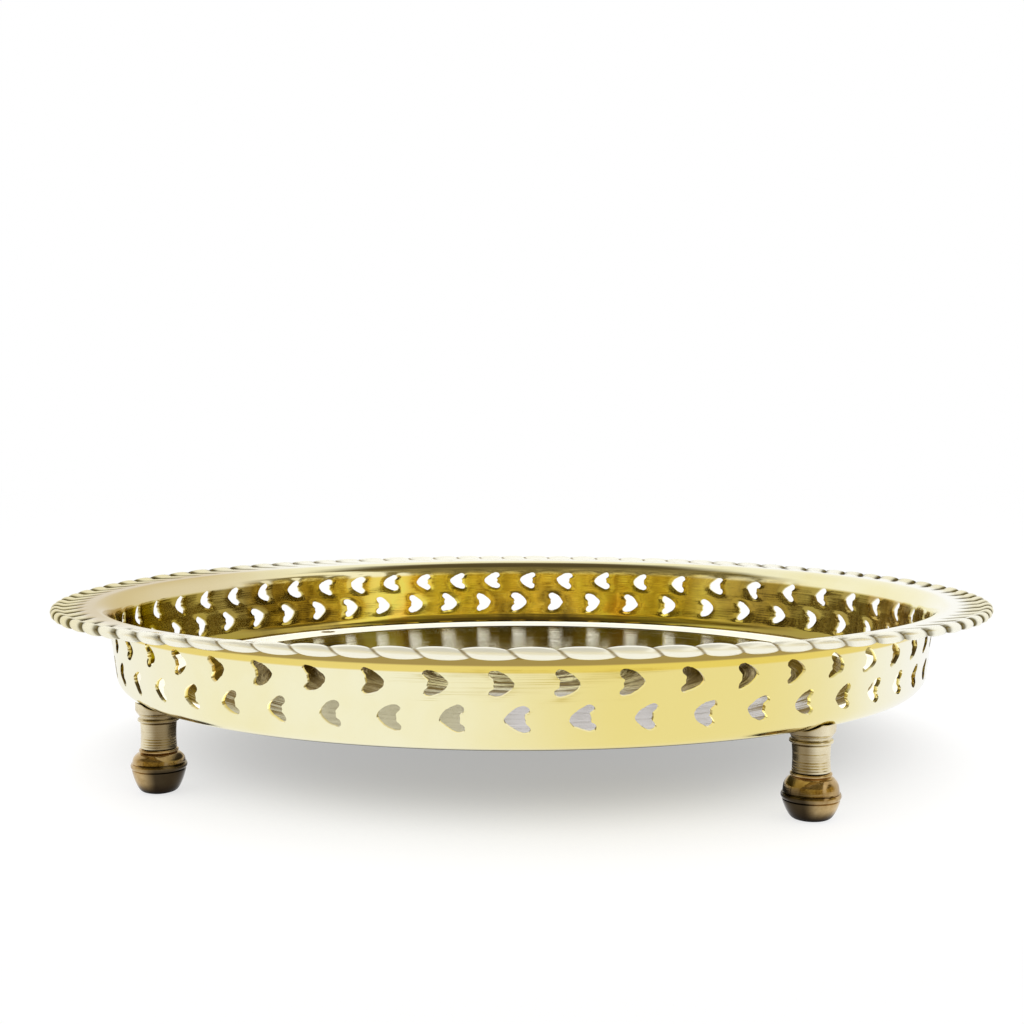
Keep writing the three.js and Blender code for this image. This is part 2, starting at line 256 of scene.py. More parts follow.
def unevenness(theta, q):
    """Slow waves in the sheet from hand work, and the rings that spinning left in the floor."""
    total = np.zeros(np.broadcast(theta, q).shape)
    for times, length, phase_round, phase_up, size in WAVES:
        up = np.sin(2 * math.pi * q / length + phase_up)
        total = total + size * np.sin(times * theta + phase_round) * up
    on_wall = smooth_step(PIERCED_BOTTOM - 3, PIERCED_BOTTOM + 3, q)
    fade = 1 - smooth_step(PIERCED_TOP + 1, q_at_radius(ROPE_START) - 1, q)
    rings = sum(np.sin(2 * math.pi * q / length + phase) for length, phase in FLOOR_RIPPLES)
    floor_fade = 1 - smooth_step(*map(q_at_radius, RIPPLES_END), q)
    floor_rings = FLOOR_RIPPLE * rings * floor_fade
    return WALL_UNEVEN * total * fade * (FLOOR_UNEVEN + (1 - FLOOR_UNEVEN) * on_wall) + floor_rings


def row_shift(q):
    """Degrees by which the columns lean between the two rows of hearts."""
    share = np.clip((q - LOWER_ROW["height"]) / (UPPER_ROW["height"] - LOWER_ROW["height"]), -0.3, 1.3)
    return LOWER_ROW["first"] + share * (UPPER_ROW["first"] - LOWER_ROW["first"])


def column_angle(column, q):
    """Angle in radians of a grid column, which follows the uneven spacing of the hearts."""
    even = np.asarray(column, float) * 360 / COLUMNS
    wander = sum(size * np.sin(np.radians(times * even + phase)) for times, size, phase in SPACING_WAVES)
    return np.radians(row_shift(q) + even + wander)


def flange_bend(theta, radius):
    """How far hand work has bent the flange up or down at an angle round the tray and a radius."""
    past = np.asarray(radius, float) - FLANGE_START
    softened = (past + np.sqrt(past * past + BEND_SOFTNESS)) / 2
    share = np.maximum(softened - BEND_START, 0) / (RIM_RADIUS - FLANGE_START)
    lift = RIM_LIFT * np.maximum(np.cos(theta - RIM_LIFT_ANGLE), 0) ** RIM_LIFT_POWER
    return share * (lift - RIM_TILT * np.sin(theta) - RIM_SADDLE * np.cos(2 * theta))


def row_rise(theta, q):
    """How much higher the rows of hearts run at an angle round the tray: up behind, down at its sides."""
    places = (PIERCED_BOTTOM - 3, LOWER_ROW["height"], UPPER_ROW["height"], PIERCED_TOP + 4)
    sag = np.interp(q, places, (0, LOWER_ROW["sag"], UPPER_ROW["sag"], 0))
    climb = np.interp(q, places, (0, LOWER_ROW["climb"], UPPER_ROW["climb"], 0))
    return climb * np.sin(theta) - sag * np.cos(theta) ** 2


def sheet_points(theta, q, side, push=0.0):
    """Points on a face of the sheet: side +1 is the outside and underside, -1 the inside and top."""
    q = q + row_rise(theta, q)
    place, normal = on_line(q)
    shift = side * SHEET / 2 + unevenness(theta, q) + push
    radius = np.maximum(place[..., 0] + normal[..., 0] * shift, 0)
    height = place[..., 1] + normal[..., 1] * shift + flange_bend(theta, place[..., 0])
    return np.stack([radius * np.cos(theta), radius * np.sin(theta), height], -1)


# ---- holes in the sheet ----


def resampled(loop, count):
    """Points at even steps along a closed loop, starting at its first point."""
    closed = np.vstack([loop, loop[:1]])
    lengths = np.concatenate([[0.0], np.cumsum(np.linalg.norm(np.diff(closed, axis=0), axis=1))])
    at = np.arange(count) * lengths[-1] / count
    return np.stack([np.interp(at, lengths, closed[:, 0]), np.interp(at, lengths, closed[:, 1])], -1)


def rounded(loop, passes):
    """Cuts the corners of a closed loop, keeping its first point first."""
    for _ in range(passes):
        after = np.roll(loop, -1, axis=0)
        before = np.roll(loop, 1, axis=0)
        loop = np.stack([0.75 * loop + 0.125 * (before + after), 0.5 * (loop + after)], 1).reshape(-1, 2)
    return loop


def heart_loop(half_height, count):
    """One heart with a blunt tip along +x, punched by hand: size, turn and edge differ a little."""
    half = np.array(HEART_CORNERS)
    loop = np.vstack([half, half[-2:0:-1] * (1, -1)])
    loop = loop * (1, half_height / half[:, 1].max())
    loop = loop + RANDOM.normal(0, 0.11, loop.shape)
    loop = rounded(loop, 2)
    loop = loop * RANDOM.uniform((0.93, 0.95), (1.07, 1.03))
    turn = math.radians(RANDOM.normal(0, 5))
    turned = np.array(((math.cos(turn), -math.sin(turn)), (math.sin(turn), math.cos(turn))))
    loop = resampled(loop @ turned.T, count)
    return loop + RANDOM.normal(0, 0.035, loop.shape)


def cell_border(first_column, last_column, first_level, last_level):
    """Grid places (column, level) round a cell, anticlockwise from the middle of its last column."""
    middle = (first_level + last_level) // 2
    right = [(last_column, level) for level in range(middle, last_level)]
    top = [(column, last_level) for column in range(last_column, first_column, -1)]
    left = [(first_column, level) for level in range(last_level, first_level, -1)]
    bottom = [(column, first_level) for column in range(first_column, last_column)]
    rest = [(last_column, level) for level in range(first_level, middle)]
    return right + top + left + bottom + rest


class Sheet(Shell):
    """The grid of columns and levels on both faces of the sheet, with cells left out for the holes."""

    def __init__(self, levels):
        super().__init__()
        self.levels = np.array(levels)
        self.skipped = set()
        columns = np.arange(COLUMNS)
        self.grid = {}
        for side in (1, -1):
            rows = []
            for q in self.levels:
                points = sheet_points(column_angle(columns, q), q, side)
                rows.append(self.add_points(points, outer=float(side > 0)))
            self.grid[side] = rows

    def punch(self, columns, levels, centre, loop, dish=0.0):
        """Replaces a cell by a hole. centre is (angle, q); loop is in millimetres round it."""
        border = cell_border(*columns, *levels)
        for column in range(*columns):
            for level in range(*levels):
                self.skipped.add((column % COLUMNS, level))
        radius = on_line(centre[1])[0][0]
        turns = 2 * math.pi * np.array([column // COLUMNS for column, _ in border])
        border_q = self.levels[[level for _, level in border]]
        angles = column_angle(np.array([c % COLUMNS for c, _ in border]), border_q) + turns
        edge = np.stack([(angles - centre[0]) * radius, border_q - centre[1]], -1)
        reach = np.linalg.norm(edge - loop, axis=1)
        rims = {}
        for side in (1, -1):
            previous = None
            for layer in range(CELL_LAYERS):
                share = (layer / CELL_LAYERS) ** 1.5
                flat = loop + share * (edge - loop)
                depth = dish * (OUTER_DISH if side > 0 else 1.0)
                push = -depth * np.exp(-(share * reach / DISH_REACH) ** 1.4) * (1 - share) ** 0.5
                points = sheet_points(centre[0] + flat[:, 0] / radius, centre[1] + flat[:, 1], side, push)
                ring = self.add_points(points, outer=float(side > 0))
                if previous is None:
                    rims[side] = ring
                else:
                    self.bridge(previous, ring)
                previous = ring
            self.bridge(previous, [self.grid[side][level][column % COLUMNS] for column, level in border])
        self.bridge(rims[1], rims[-1])

    def fill(self):
        """Quads of both faces wherever no cell was punched."""
        for side in (1, -1):
            rows = self.grid[side]
            for level in range(len(rows) - 1):
                for column in range(COLUMNS):
                    if (column, level) in self.skipped:
                        continue
                    after = (column + 1) % COLUMNS
                    low, high = rows[level], rows[level + 1]
                    self.faces.append((low[column], low[after], high[after], high[column]))


def body_levels():
    """Positions along the middle line of the grid's levels, and where the two rows of hearts start."""
    rippled = np.linspace(2, RIPPLES_END[0], 100)
    plain = np.linspace(119.5, 129.5, 11)
    floor = [q_at_radius(radius) for radius in (*rippled, *plain)]
    corner = list(np.linspace(floor[-1], PIERCED_BOTTOM, 12)[1:-1])
    lower = list(np.linspace(PIERCED_BOTTOM, PIERCED_SPLIT, CELL_LEVELS + 1))
    upper = list(np.linspace(PIERCED_SPLIT, PIERCED_TOP, CELL_LEVELS + 1))[1:]
    shoulder = list(np.linspace(PIERCED_TOP, q_at_radius(ROPE_START - 0.8), 20)[1:])
    levels = floor + corner + lower + upper + shoulder
    lower_start = len(floor) + len(corner)
    return levels, lower_start, lower_start + CELL_LEVELS


# ---- the rope edge ----


def rope_path():
    """Points of the edge's section from the flange's top round the rolled edge to its underside."""
    start, normal = on_line(q_at_radius(ROPE_START))
    outwards, upwards = RIM_CLEARANCE
    reach = RIM_RADIUS - BEAD_RADIUS - STRAND_RISE - outwards
    front_bend = float(flange_bend(-math.pi / 2, reach))
    centre = np.array((reach, RIM_TOP - BEAD_RADIUS - STRAND_RISE - upwards - front_bend))

    def flange(radius, side):
        height = start[1] + FLANGE_SLOPE * (radius - start[0])
        return np.array((radius, height)) + side * normal * SHEET / 2

    top = [flange(radius, -1) for radius in np.linspace(ROPE_START, FLANGE_TOP_END, 9)]
    under = [flange(radius, 1) for radius in np.linspace(FLANGE_UNDER_END, ROPE_START, 7)]
    angles = np.radians(np.linspace(*BEAD_ANGLES, 19))
    bead = [centre + BEAD_RADIUS * np.array((math.cos(a), math.sin(a))) for a in angles]
    keys = np.array(top + bead + under)
    lengths = np.concatenate([[0.0], np.cumsum(np.linalg.norm(np.diff(keys, axis=0), axis=1))])
    even = np.linspace(0, lengths[-1], ROPE_POINTS)
    path = np.stack([np.interp(even, lengths, keys[:, 0]), np.interp(even, lengths, keys[:, 1])], -1)
    path[1:-1] = 0.5 * path[1:-1] + 0.25 * (path[:-2] + path[2:])
    tangent = np.gradient(path, axis=0)
    tangent /= np.linalg.norm(tangent, axis=1, keepdims=True)
    return path, np.stack([-tangent[:, 1], tangent[:, 0]], -1)


def strand_height(phase):
    """Height across strands, 1 on a crest and 0 in a groove: round strands, narrow grooves."""
    across = 2 * (phase % 1.0) - 1
    return np.sqrt(np.maximum(1 - across * across, 0)) ** 0.9


def build_rope(shell, inner_top, inner_under):
    """Adds the rope edge to the sheet and joins it to the flange's two open loops."""
    path, normal = rope_path()
    samples = STRANDS * STRAND_SAMPLES
    start_angle = float(column_angle(0, q_at_radius(ROPE_START)))
    theta = start_angle + np.arange(samples) * 2 * math.pi / samples
    turn = 2 * math.pi / STRANDS
    uneven = sum(size * np.sin(times * theta + phase) for times, size, phase in STRAND_WAVES)
    along = np.linspace(0, 1, len(path))
    growth = smooth_step(0.0, 0.26, along) * (1 - smooth_step(0.72, 0.84, along))
    over_flange, round_bead = smooth_step(0.0, 0.38, along), smooth_step(0.36, 0.62, along)
    lean = STRAND_LEAN[0] * over_flange + STRAND_LEAN[1] * round_bead
    below = smooth_step(0.500, 0.545, along)
    loops = []
    for i, (place, out) in enumerate(zip(path, normal)):
        phase = theta / turn - lean[i] + uneven
        height = strand_height(phase)
        strand = np.floor(phase).astype(int) % STRANDS
        shift = growth[i] * ((STRAND_RISE + STRAND_GROOVE) * height - STRAND_GROOVE - STRAND_LOW[strand])
        radius = place[0] + out[0] * shift
        level = place[1] + out[1] * shift + flange_bend(theta, place[0])
        points = np.stack([radius * np.cos(theta), radius * np.sin(theta), level], -1)
        # Painted shade mark: deepest in the grooves between strands, none on their crests.
        loops.append(shell.add_points(points, growth[i] * (1 - height) ** 1.5, below[i]))
    for low, high in zip(loops, loops[1:]):
        shell.bridge(low, high)
    shell.zip_loops(inner_top, loops[0])
    shell.zip_loops(inner_under, loops[-1])


def leg_centre(name):
    low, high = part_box(f"foot_ball_{name}")
    middle = (low + high) / 2 / MM
    return middle.x, middle.y


def punch_hearts(sheet, row, start):
    """Punches one row of hearts into the cells that start at a level."""
    count = 2 * (CELL_COLUMNS + CELL_LEVELS)
    for i in range(HEARTS_PER_ROW):
        first = i * CELL_COLUMNS - CELL_COLUMNS // 2
        centre = (float(column_angle(i * CELL_COLUMNS, row["height"])), row["height"])
        loop = heart_loop(row["half_height"], count)
        if row["tip"] < 0:
            loop = np.roll(-loop, count // 2, axis=0)
        dish = RANDOM.uniform(*HEART_DISH)
        sheet.punch((first, first + CELL_COLUMNS), (start, start + CELL_LEVELS), centre, loop, dish)


def punch_screw_hole(sheet, x, y):
    """Punches a round hole into the cell of the floor nearest to a point."""
    angle = math.atan2(y, x)
    q = q_at_radius(math.hypot(x, y))
    columns = np.arange(-COLUMNS, 2 * COLUMNS)
    turns = 2 * math.pi * (columns // COLUMNS)
    nearest = int(np.argmin(np.abs(column_angle(columns % COLUMNS, q) + turns - angle))) - COLUMNS
    level = int(np.argmin(np.abs(sheet.levels - q)))
    cell = (nearest - HOLE_COLUMNS, nearest + HOLE_COLUMNS), (level - HOLE_LEVELS, level + HOLE_LEVELS)
    count = len(cell_border(*cell[0], *cell[1]))
    turn = 2 * math.pi * np.arange(count) / count
    sheet.punch(*cell, (angle, q), SCREW_HOLE * np.stack([np.cos(turn), np.sin(turn)], -1))


def close_floor(sheet):
    """Closes both faces of the sheet at the tray's axis."""
    for side in (1, -1):
        height = FLOOR_UNDERSIDE + (0 if side > 0 else SHEET)
        centre = sheet.add_points([(0, 0, height)], outer=float(side > 0))[0]
        ring = sheet.grid[side][0]
        for i in range(COLUMNS):
            sheet.faces.append((centre, ring[i], ring[(i + 1) % COLUMNS]))


def build_body():
    """The whole sheet with its hearts, screw holes and rope edge, as one closed shell."""
    levels, lower_start, upper_start = body_levels()
    sheet = Sheet(levels)
    punch_hearts(sheet, UPPER_ROW, upper_start)
    punch_hearts(sheet, LOWER_ROW, lower_start)
    for name in LEG_NAMES:
        punch_screw_hole(sheet, *leg_centre(name))
    sheet.fill()
    close_floor(sheet)
    build_rope(sheet, sheet.grid[-1][-1], sheet.grid[1][-1])
    return make_object("brass_tray_body", sheet.vertices, sheet.faces, SHEET_SHARP, sheet.marks)


# ---- legs ----

TURNED_SHARP = 28.0         # degrees between faces above which an edge of a leg stays sharp
BELT_HEIGHTS = {"front_left": 8.0, "front_right": 6.65, "back_right": 7.4, "back_left": 7.0}
BELT_HALF = 0.93
BALL_HEIGHT = 12.0
BORE_RADIUS = 1.8           # bore of the ball and the column, round the screw
BORE_BOTTOM = 4.1
DISC_TOP = 13.18            # top of the ball's neck disc
COLUMN_SPAN = (13.32, 20.88)
COLUMN_WAIST = 5.28
COLUMN_RINGS = 10
COLLAR_BORE = 2.6
COLLAR_SPAN = (21.0, 25.18)
COLLAR_LIP = 24.8           # height above which a collar's lip follows the sheet
FLOOR_EDGE = 127.9          # radius where the flat floor ends and its corner begins
COLLAR_REACH = 3.7          # how far beyond that radius the lip follows the corner
SCREW_TIP = 4.4
SCREW_RADIUS = 1.5
SCREW_TOP = 26.2
SCREW_SEGMENTS = 48
SLOT = (8.0, 0.8, 1.2)      # length, width and height of the block that cuts a screw's slot


def turned_piece(name, profile, centre, segments=96):
    """Turns a closed millimetre profile of (radius, height) round a leg's axis."""
    shell = Shell()
    angles = np.arange(segments) * 2 * math.pi / segments
    loops = []
    for radius, height in profile:
        if radius < 1e-6:
            loops.append(shell.add_points([(centre[0], centre[1], height)]) * segments)
        else:
            x = centre[0] + radius * np.cos(angles)
            y = centre[1] + radius * np.sin(angles)
            loops.append(shell.add_points(np.stack([x, y, np.full(segments, height)], -1)))
    for low, high in zip(loops, loops[1:] + loops[:1]):
        if low[0] == low[1] and high[0] == high[1]:
            continue
        shell.bridge(low, high)
    return make_object(name, shell.vertices, shell.faces, TURNED_SHARP)


def curve_through(points, steps):
    """A smooth line through the given points (Catmull-Rom)."""
    keys = np.array([points[0]] + list(points) + [points[-1]], float)
    line = []
    for a, b, c, d in zip(keys, keys[1:], keys[2:], keys[3:]):
        for t in np.arange(steps) / steps:
            line.append(0.5 * (2 * b + (c - a) * t + (2 * a - 5 * b + 4 * c - d) * t ** 2
                               + (3 * b - a - 3 * c + d) * t ** 3))
    line.append(keys[-1])
    return [tuple(point) for point in line]


def ball_profile(belt):
    """The ball foot: a standing flat, a bowl, a belt between two grooves, a shoulder and a neck disc."""
    low, high = belt - BELT_HALF, belt + BELT_HALF
    bowl = curve_through([(3.45, 0.0), (4.9, 0.07 * low), (5.8, 0.19 * low), (6.6, 0.40 * low),
                          (7.2, 0.62 * low), (7.65, 0.84 * low), (7.8, 0.95 * low)], 5)
    belt_line = [(7.52, low - 0.05), (7.6, low + 0.12)]
    belt_line += curve_through([(7.95, low + 0.22), (8.16, belt - 0.3), (8.18, belt + 0.25),
                                (7.98, high - 0.2)], 4)
    belt_line += [(7.62, high - 0.12), (7.5, high + 0.05)]
    rise = BALL_HEIGHT - high
    shoulder = curve_through([(7.72, high + 0.18), (7.35, high + 0.52 * rise), (6.35, high + 0.86 * rise),
                              (5.5, BALL_HEIGHT - 0.03)], 6)
    disc = curve_through([(5.3, 12.12), (5.62, 12.25), (5.75, 12.55), (5.65, 12.9), (5.2, 13.13)], 4)
    bore = [(BORE_RADIUS, DISC_TOP), (BORE_RADIUS, BORE_BOTTOM), (0.0, BORE_BOTTOM)]
    return [(0.0, 0.0)] + bowl + belt_line + shoulder + disc + bore


def column_profile():
    """The column: a sleeve with fine turned rings, a little waisted."""
    bottom, top = COLUMN_SPAN
    line = [(BORE_RADIUS, bottom)]
    step = (top - bottom) / COLUMN_RINGS
    for i in range(COLUMN_RINGS):
        waist = COLUMN_WAIST - 0.18 * math.sin(math.pi * (i + 0.5) / COLUMN_RINGS)
        deep = RANDOM.uniform(0.02, 0.06)
        start = bottom + i * step
        line.append((waist - deep, start + 0.02))
        line.append((waist, start + 0.28 * step))
        line.append((waist + 0.02, start + 0.72 * step))
    line += [(5.1, top), (BORE_RADIUS, top)]
    return line


def collar_profile():
    """The collar: a bead, a waist, a thin ring and a flare that bears on the floor."""
    bottom, top = COLLAR_SPAN
    line = [(COLLAR_BORE, bottom), (5.3, bottom)]
    line += curve_through([(5.5, 21.08), (5.95, 21.35), (6.0, 21.7), (5.9, 22.05), (5.45, 22.25)], 4)
    line += curve_through([(5.4, 22.4), (5.55, 22.9), (5.85, 23.35)], 4)
    line += curve_through([(5.82, 23.5), (6.15, 23.75), (6.5, 24.25), (6.68, 24.85), (6.66, top)], 4)
    line += [(COLLAR_BORE, top)]
    return line


def seat_collar(collar):
    """Raises a collar's lip to follow the sheet where its rounded corner begins to climb."""
    for vertex in collar.data.vertices:
        x, y, z = vertex.co / MM
        if z > COLLAR_LIP:
            out = min(max(math.hypot(x, y) - FLOOR_EDGE, 0.0), COLLAR_REACH)
            vertex.co.z += (CORNER_RADIUS - math.sqrt(CORNER_RADIUS ** 2 - out ** 2)) * MM


def screw_profile():
    """A countersunk screw; its slot is cut afterwards."""
    shank = [(0.0, SCREW_TIP), (SCREW_RADIUS, SCREW_TIP), (SCREW_RADIUS, 24.75)]
    return shank + [(2.78, 26.05), (2.8, SCREW_TOP), (0.0, SCREW_TOP)]


def cut_slot(piece, centre, turn):
    """Cuts the driver slot across a screw's head."""
    cutter = bpy.data.meshes.new("slot_cutter")
    built = bmesh.new()
    bmesh.ops.create_cube(built, size=1.0)
    size = Matrix.Diagonal((*(Vector(SLOT) * MM), 1.0))
    place = Matrix.Translation(Vector((*centre, SCREW_TOP)) * MM)
    bmesh.ops.transform(built, matrix=place @ Matrix.Rotation(turn, 4, "Z") @ size, verts=built.verts)
    built.to_mesh(cutter)
    built.free()
    tool = bpy.data.objects.new("slot_cutter", cutter)
    bpy.context.scene.collection.objects.link(tool)
    change = piece.modifiers.new("slot", "BOOLEAN")
    change.operation = "DIFFERENCE"
    change.object = tool
    bpy.context.view_layer.update()
    evaluated = piece.evaluated_get(bpy.context.evaluated_depsgraph_get())
    mesh = bpy.data.meshes.new_from_object(evaluated)
    piece.modifiers.clear()
    piece.data = mesh
    bpy.data.objects.remove(tool)


# ---- node trees ----

WHITE = (1.0, 1.0, 1.0)


class Graph:
    """A short way to write a node tree. A colour is a socket or a triple."""

    def __init__(self, tree):
        self.tree = tree
        tree.nodes.clear()

    def node(self, kind, inputs=None, **settings):
        made = self.tree.nodes.new(kind)
        for key, value in settings.items():
            setattr(made, key, value)
        for key, value in (inputs or {}).items():
            self.plug(value, made.inputs[key])
        return made

    def plug(self, value, socket):
        if isinstance(value, bpy.types.NodeSocket):
            self.tree.links.new(value, socket)
        elif socket.type == "RGBA":
            socket.default_value = (*value, 1.0)
        else:
            socket.default_value = value

    def math(self, operation, first, second=0.0):
        return self.node("ShaderNodeMath", {0: first, 1: second}, operation=operation).outputs[0]

    def product(self, first, *others):
        for other in others:
            first = self.math("MULTIPLY", first, other)
        return first

    def largest(self, first, *others):
        for other in others:
            first = self.math("MAXIMUM", first, other)
        return first

    def span(self, value, low, high, out_low=0.0, out_high=1.0, smooth=True):
        """Goes from out_low to out_high as the value goes from low to high, and is level beyond them."""
        inputs = {"Value": value, "From Min": low, "From Max": high, "To Min": out_low, "To Max": out_high}
        kind = "SMOOTHSTEP" if smooth else "LINEAR"
        return self.node("ShaderNodeMapRange", inputs, interpolation_type=kind).outputs["Result"]

    def vector(self, x=0.0, y=0.0, z=0.0):
        return self.node("ShaderNodeCombineXYZ", {"X": x, "Y": y, "Z": z}).outputs[0]

    def split(self, vector):
        return self.node("ShaderNodeSeparateXYZ", {0: vector}).outputs

    def stretched(self, vector, scale):
        return self.node("ShaderNodeVectorMath", {0: vector, 1: scale}, operation="MULTIPLY").outputs[0]

    def noise(self, vector, scale, detail=3.0, roughness=0.5):
        inputs = {"Vector": vector, "Scale": scale, "Detail": detail, "Roughness": roughness}
        return self.node("ShaderNodeTexNoise", inputs).outputs["Fac"]

    def attribute(self, name):
        return self.node("ShaderNodeAttribute", attribute_name=name).outputs["Fac"]

    def bump(self, height, strength, distance):
        inputs = {"Height": height, "Strength": strength, "Distance": distance}
        return self.node("ShaderNodeBump", inputs).outputs[0]

    def emission(self, colour, strength):
        return self.node("ShaderNodeEmission", {"Color": colour, "Strength": strength}).outputs[0]

    def mix(self, share, first, second):
        return self.node("ShaderNodeMix", {0: share, 6: first, 7: second}, data_type="RGBA").outputs[2]

    def ramp(self, value, stops):
        made = self.node("ShaderNodeValToRGB", {"Fac": value})
        band = made.color_ramp
        while len(band.elements) < len(stops):
            band.elements.new(0.5)
        for element, (position, colour) in zip(band.elements, stops):
            element.position = position
            element.color = (*colour, 1.0)
        return made.outputs["Color"]


def new_graph(name):
    material = bpy.data.materials.new(name)
    material.use_nodes = True
    return material, Graph(material.node_tree)


def polar(graph, centre=(0.0, 0.0)):
    """Radius, angle in radians and height of the shaded point round a vertical axis, with its position."""
    position = graph.node("ShaderNodeTexCoord").outputs["Object"]
    offset = (centre[0] * MM, centre[1] * MM, 0.0)
    moved = graph.node("ShaderNodeVectorMath", {0: position, 1: offset}, operation="SUBTRACT").outputs[0]
    x, y, height = graph.split(moved)
    radius = graph.math("SQRT", graph.math("ADD", graph.product(x, x), graph.product(y, y)))
    return radius, graph.math("ARCTAN2", y, x), height, position


def finish_material(graph, colour, roughness, bump, metallic=1.0, glow=0.0, edge=WHITE):
    """Adds the shader. edge is the metal's tint where it is seen at a grazing angle."""
    shader = graph.node("ShaderNodeBsdfPrincipled", {
        "Base Color": colour, "Metallic": metallic, "Roughness": roughness, "Normal": bump,
        "Emission Color": colour, "Emission Strength": glow, "Specular Tint": edge})
    output = graph.node("ShaderNodeOutputMaterial")
    graph.tree.links.new(shader.outputs[0], output.inputs["Surface"])


# ---- the sheet's finish ----

BRASS_PALE = (0.93, 0.89, 0.62)
BRASS_WARM = (0.90, 0.83, 0.48)
BRASS_GOLD = (0.84, 0.70, 0.22)
BRASS_SILVERY = (0.95, 0.93, 0.82)
BRASS_DEEP = (0.82, 0.62, 0.09)
BRASS_AMBER = (0.90, 0.54, 0.03)
BRASS_OLIVE = (0.80, 0.68, 0.08)
BRASS_BROWN = (0.28, 0.20, 0.04)
BRASS_EDGE = (0.98, 0.96, 0.82)
BRASS_HONEY = (0.82, 0.74, 0.44)
BRASS_STRIPE = (0.30, 0.22, 0.08)
BRASS_TAN = (0.66, 0.54, 0.32)
BRASS_GREY = (0.72, 0.70, 0.72)
BRASS_DULL = (0.64, 0.60, 0.42)
BRASS_UNDER = (0.34, 0.24, 0.07)
GROOVE_SHADE = (0.15, 0.12, 0.04)
# Painted highlight: white of the ring at the floor's inner corner, which also glows.
RING_HIGHLIGHT_WHITE = (1.0, 0.99, 0.88)
LINES_PER_METRE = 1400.0
RINGS_PER_METRE = 180.0


def sheet_masks(graph):
    """Shares from 0 to 1 that tell apart the parts, faces and sides of the sheet. Lengths are in metres."""
    radius, angle, height, position = polar(graph)
    x, y, _ = graph.split(position)
    rightward = graph.math("COSINE", angle)
    sideways = graph.math("ABSOLUTE", rightward)
    degrees = graph.product(angle, 180 / math.pi)
    off_axis = graph.math("ABSOLUTE", x)
    outer = graph.attribute("outer")
    inner = graph.math("SUBTRACT", 1.0, outer)
    floor = graph.span(radius, 0.118, 0.112)
    middle = graph.product(graph.span(y, -0.06, -0.04), graph.span(y, 0.05, 0.02))
    rings = graph.vector(graph.product(radius, RINGS_PER_METRE), graph.product(angle, 0.6))
    turned = graph.span(graph.noise(rings, 1.0, 4.0, 0.9), 0.48, 0.53)
    striped = graph.largest(middle, graph.span(off_axis, 0.055, 0.075))
    return SimpleNamespace(
        outer=outer,
        inner=inner,
        # How much painted shade a point of the rope takes in its grooves.
        groove=graph.attribute("groove_shade"),
        golden=graph.product(graph.span(degrees, -100, -78), graph.span(degrees, -40, -64)),
        flanks=graph.span(sideways, 0.60, 0.95),
        inner_flanks=graph.span(sideways, 0.45, 0.80),
        front=graph.span(sideways, 0.95, 0.75),
        tips=graph.span(sideways, 0.35, 0.90),
        left=graph.span(rightward, -0.60, -0.92),
        right=graph.span(rightward, 0.80, 0.95),
        floor=floor,
        near=graph.span(y, -0.03, -0.06),
        near_left=graph.span(x, 0.0, -0.02),
        middle_sides=graph.product(middle, graph.span(off_axis, 0.02, 0.05)),
        near_half=graph.product(floor, graph.span(y, 0.06, 0.03)),
        stripes=graph.product(graph.span(radius, 0.128, 0.124), striped, turned),
        # The ring at the floor's inner corner, which takes a painted highlight: white and glowing.
        ring=graph.product(graph.span(radius, 0.1160, 0.1168), graph.span(radius, 0.1292, 0.1286), inner),
        wall=graph.product(graph.span(radius, 0.120, 0.126), graph.span(height, 0.0474, 0.0462)),
        golden_band=graph.span(height, 0.0456, 0.0462),
        brown_band=graph.span(height, 0.0474, 0.0480),
        shoulder=graph.span(height, 0.0462, 0.0474),
        flange=graph.span(radius, 0.1375, 0.1405),
        under_flange=graph.product(graph.span(radius, 0.1372, 0.1392), graph.span(radius, 0.1512, 0.1500)),
        edge=graph.span(radius, 0.1430, 0.1470),
    )


